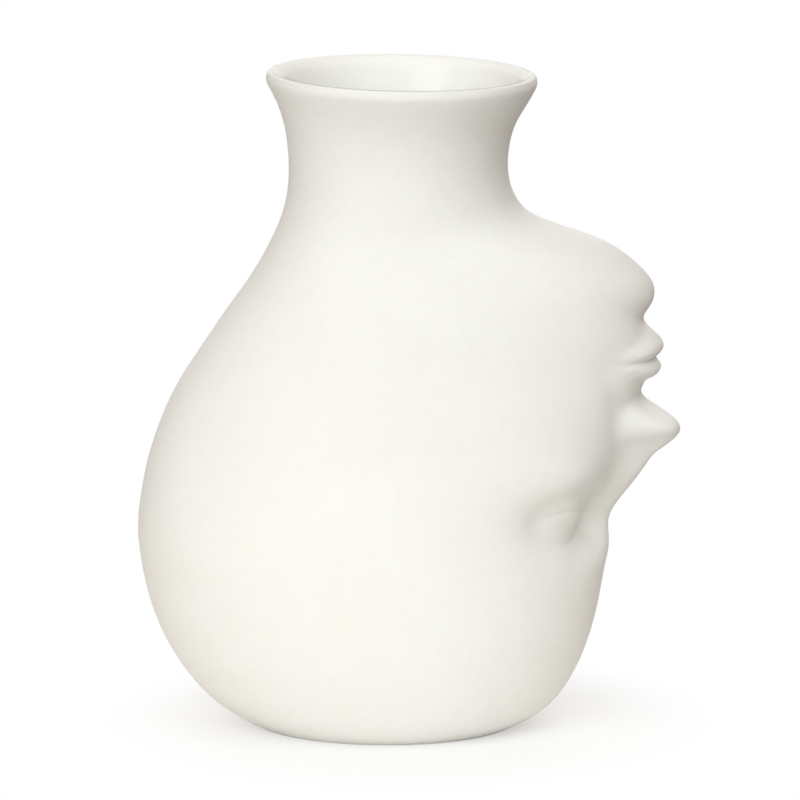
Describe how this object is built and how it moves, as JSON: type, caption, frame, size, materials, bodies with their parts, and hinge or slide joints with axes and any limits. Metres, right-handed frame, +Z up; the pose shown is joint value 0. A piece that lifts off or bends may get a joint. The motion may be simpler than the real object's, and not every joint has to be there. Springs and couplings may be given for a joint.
{
  "type": "face vase",
  "caption": "Matt porcelain vase shaped as an upside-down head with closed eyes. It stands on its crown, its flared neck is the mouth, and it is glazed inside.",
  "frame": {"origin": "on the table, under the middle of the vase's length, half way from the tip of the nose to the back of the head", "axes": "+Z up along the axis of the mouth, +X the way the face looks, +Y across the head"},
  "size_m": [0.2326, 0.158, 0.2809],
  "materials": {
    "bisque_porcelain": "matt unglazed bisque, warm white",
    "clear_white_glaze": "gloss glaze, white"
  },
  "bodies": {
    "root": {"ceramic_body": "bisque_porcelain", "glaze_lining": "clear_white_glaze"}
  },
  "joints": []
}
